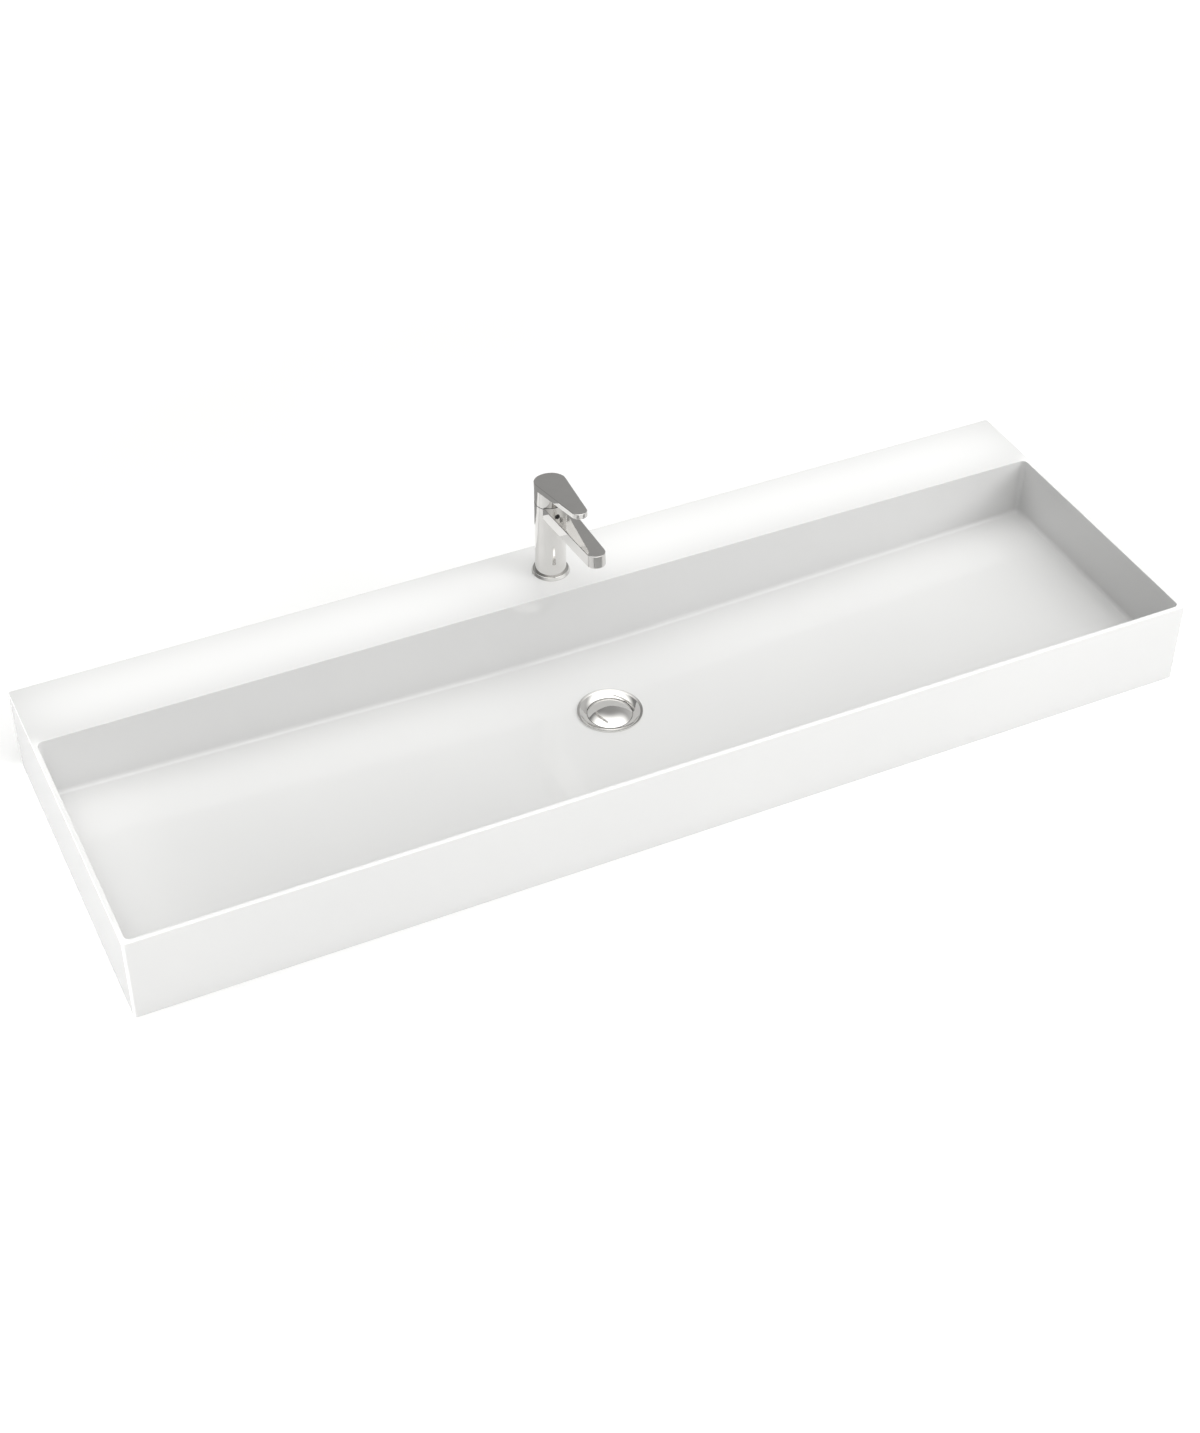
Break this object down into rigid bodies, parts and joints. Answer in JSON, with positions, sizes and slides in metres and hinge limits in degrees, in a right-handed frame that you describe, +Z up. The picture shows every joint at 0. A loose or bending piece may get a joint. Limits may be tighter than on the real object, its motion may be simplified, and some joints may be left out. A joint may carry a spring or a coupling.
{
  "type": "countertop basin",
  "caption": "Long shallow rectangular countertop washbasin in white glazed ceramic, with a flat tap deck, a chrome single-lever mixer and a round push-to-open waste.",
  "frame": {"origin": "on the counter's surface, under the middle of the basin's plan", "axes": "+X along the basin to the user's right as they face it, +Y towards the wall, +Z up"},
  "size_m": [1.4, 0.47, 0.3281],
  "materials": {
    "glaze": "gloss white glaze",
    "chrome": "polished",
    "rubber": "matt black",
    "dark_plastic": "matt dark grey",
    "pale_plastic": "satin off-white",
    "disc_ceramic": "lapped",
    "brass": "machined",
    "steel": "zinc plated"
  },
  "bodies": {
    "basin": {"basin_body": "glaze", "tap_body": "chrome", "base_ring": "chrome", "base_gasket": "rubber", "mounting_stud": "steel", "clamp_gasket": "rubber", "horseshoe_plate": "steel", "mounting_nut": "steel", "aerator_housing": "chrome", "aerator_insert": "pale_plastic", "aerator_washer": "rubber", "port_gasket": "rubber", "cartridge_base": "dark_plastic", "fixed_disc": "disc_ceramic", "cartridge_housing": "dark_plastic", "cartridge_nut": "brass", "cartridge_cover": "dark_plastic", "waste_body": "chrome", "flange_gasket": "rubber", "lower_gasket": "rubber", "slip_washer": "pale_plastic", "back_nut": "brass", "click_barrel": "pale_plastic", "click_spring": "steel"},
    "swivel": {"swivel_carrier": "pale_plastic", "stem_pin": "steel"},
    "handle": {"stem": "brass", "lever": "chrome", "grub_screw": "steel", "screw_plug": "dark_plastic"},
    "disc": {"moving_disc": "disc_ceramic", "disc_driver": "pale_plastic"},
    "plug": {"plug_cap": "chrome", "plug_seal": "rubber", "click_stem": "pale_plastic"}
  },
  "joints": [
    {"name": "mix_swivel", "type": "hinge", "parent": "basin", "child": "swivel", "pos_m": [0, 0.178, 0.224], "axis": [0, 0, 1], "range_deg": [-50, 50]},
    {"name": "lever_lift", "type": "hinge", "parent": "swivel", "child": "handle", "pos_m": [0, 0.178, 0.224], "axis": [-1, 0, 0], "range_deg": [0, 25]},
    {"name": "disc_slide", "type": "slide", "parent": "swivel", "child": "disc", "axis": [0, -1, 0], "range_m": [0, 0.00377]},
    {"name": "plug_slide", "type": "slide", "parent": "basin", "child": "plug", "axis": [0, 0, 1], "range_m": [0, 0.008], "deforming": ["click_spring"]}
  ],
  "couplings": [
    {"joint": "disc_slide", "follows": "lever_lift", "m_per_rad": 0.0086203}
  ]
}
